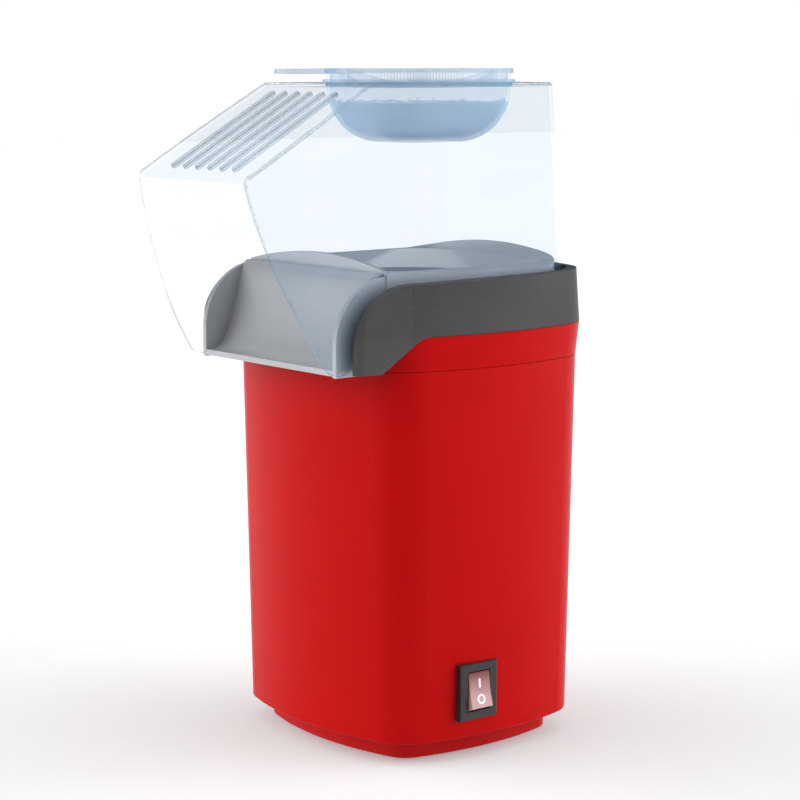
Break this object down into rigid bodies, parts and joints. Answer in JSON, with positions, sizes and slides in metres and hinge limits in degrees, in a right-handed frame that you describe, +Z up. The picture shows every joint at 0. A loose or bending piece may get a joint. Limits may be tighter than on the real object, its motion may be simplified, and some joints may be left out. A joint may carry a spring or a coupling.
{
  "type": "hot-air popcorn maker",
  "caption": "Upright hot-air popcorn maker: bowed red housing, dark collar, funnel with a chute, clear lift-off cover, measuring cup and side rocker switch.",
  "frame": {"origin": "middle of the whole object's footprint, on the surface it stands on", "axes": "+Z up, -Y out of the chute, +X out of the side with the rocker switch"},
  "size_m": [0.138, 0.1798, 0.295],
  "materials": {
    "red_shell": "satin gloss",
    "collar_plastic": "fine matte grain",
    "silver_plastic": "satin silver",
    "clear_plastic": "clear",
    "cup_plastic": "clear, faint blue",
    "rubber": "matte",
    "screw_steel": "zinc plated",
    "chamber_metal": "satin",
    "shroud_metal": "brushed",
    "mica": "matte sheet",
    "heating_wire": "oxidised",
    "copper": "satin",
    "brass": "satin",
    "core_steel": "matte",
    "carbon": "matte",
    "fan_plastic": "matte",
    "board": "matte",
    "switch_black": "satin",
    "rocker_red": "translucent red",
    "wire_cover": "silicone"
  },
  "bodies": {
    "housing": {"housing_shell": "red_shell", "upper_band": "red_shell", "base_plate": "red_shell", "collar": "collar_plastic", "funnel_chute": "silver_plastic", "rubber_feet": "rubber", "base_screws": "screw_steel", "popping_chamber": "chamber_metal", "chamber_gasket": "rubber", "chamber_screws": "screw_steel", "heat_shroud": "shroud_metal", "mica_liner": "mica", "heating_coil": "heating_wire", "mica_plate_a": "mica", "mica_plate_b": "mica", "thermostat": "brass", "thermal_fuse": "copper", "motor_brushes": "carbon", "motor_can": "shroud_metal", "motor_magnets": "core_steel", "motor_end_cap": "fan_plastic", "motor_bushes": "brass", "motor_bracket": "shroud_metal", "bracket_grommets": "rubber", "bracket_screws": "screw_steel", "motor_screws": "screw_steel", "rectifier_board": "board", "rectifier_diodes": "carbon", "switch_housing": "switch_black", "switch_pin": "screw_steel", "switch_terminals": "brass", "cord_gland": "rubber", "lead_wires": "wire_cover"},
    "cover": {"clear_cover": "clear_plastic"},
    "cup": {"measuring_cup": "cup_plastic"},
    "rocker": {"switch_rocker": "rocker_red"},
    "rotor": {"fan_impeller": "fan_plastic", "motor_shaft": "screw_steel", "motor_armature": "core_steel", "commutator": "copper"}
  },
  "joints": [
    {"name": "cover_lift", "type": "slide", "parent": "housing", "child": "cover", "axis": [0, 0, 1], "range_m": [0, 0.06]},
    {"name": "cup_lift", "type": "slide", "parent": "cover", "child": "cup", "axis": [0, 0, 1], "range_m": [0, 0.045]},
    {"name": "rocker_tip", "type": "hinge", "parent": "housing", "child": "rocker", "pos_m": [0.06369, 0.01159, 0.0305], "axis": [0, 1, 0], "range_deg": [0, 20]},
    {"name": "rotor_spin", "type": "hinge", "parent": "housing", "child": "rotor", "pos_m": [0, 0.0253, 0.03], "axis": [0, 0, 1], "continuous": true}
  ]
}
